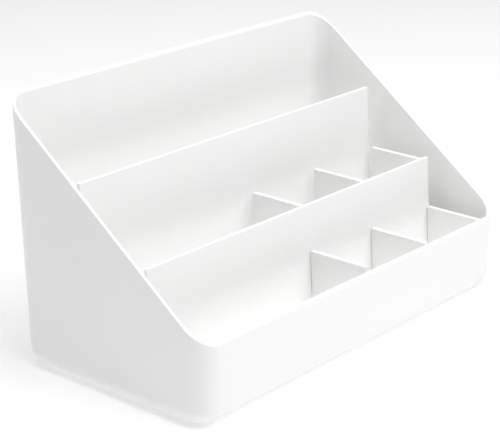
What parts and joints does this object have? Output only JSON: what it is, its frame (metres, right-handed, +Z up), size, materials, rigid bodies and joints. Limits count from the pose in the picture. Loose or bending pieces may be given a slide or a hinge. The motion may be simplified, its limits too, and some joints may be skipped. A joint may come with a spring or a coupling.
{
  "type": "desk organizer",
  "caption": "Slant-cut open tub for a desk, with lift-out leaning partitions and lift-out divider inserts that make stepped compartments for letters, notes and pens.",
  "frame": {"origin": "middle of the object's plan, on the surface that its pads stand on", "axes": "+X to the right across the width, +Y from the low front to the high back, +Z up"},
  "size_m": [0.25, 0.1322, 0.1428],
  "materials": {
    "tub_plastic": "satin",
    "partition_plastic": "satin",
    "insert_plastic": "satin",
    "pad_silicone": "matte"
  },
  "bodies": {
    "tub": {"tub": "tub_plastic", "pad_front_left": "pad_silicone", "pad_front_right": "pad_silicone", "pad_back_left": "pad_silicone", "pad_back_right": "pad_silicone"},
    "rear_partition": {"rear_partition": "partition_plastic"},
    "front_partition": {"front_partition": "partition_plastic"},
    "middle_insert": {"middle_insert": "insert_plastic"},
    "front_insert": {"front_insert": "insert_plastic"}
  },
  "joints": [
    {"name": "rear_partition_lift", "type": "slide", "parent": "tub", "child": "rear_partition", "axis": [0, 0.061, 0.9981], "range_m": [0, 0.12]},
    {"name": "middle_insert_lift", "type": "slide", "parent": "rear_partition", "child": "middle_insert", "axis": [0, 0.061, 0.9981], "range_m": [0, 0.105]},
    {"name": "front_partition_lift", "type": "slide", "parent": "tub", "child": "front_partition", "axis": [0, 0.061, 0.9981], "range_m": [0, 0.085]},
    {"name": "front_insert_lift", "type": "slide", "parent": "front_partition", "child": "front_insert", "axis": [0, 0.061, 0.9981], "range_m": [0, 0.075]}
  ]
}
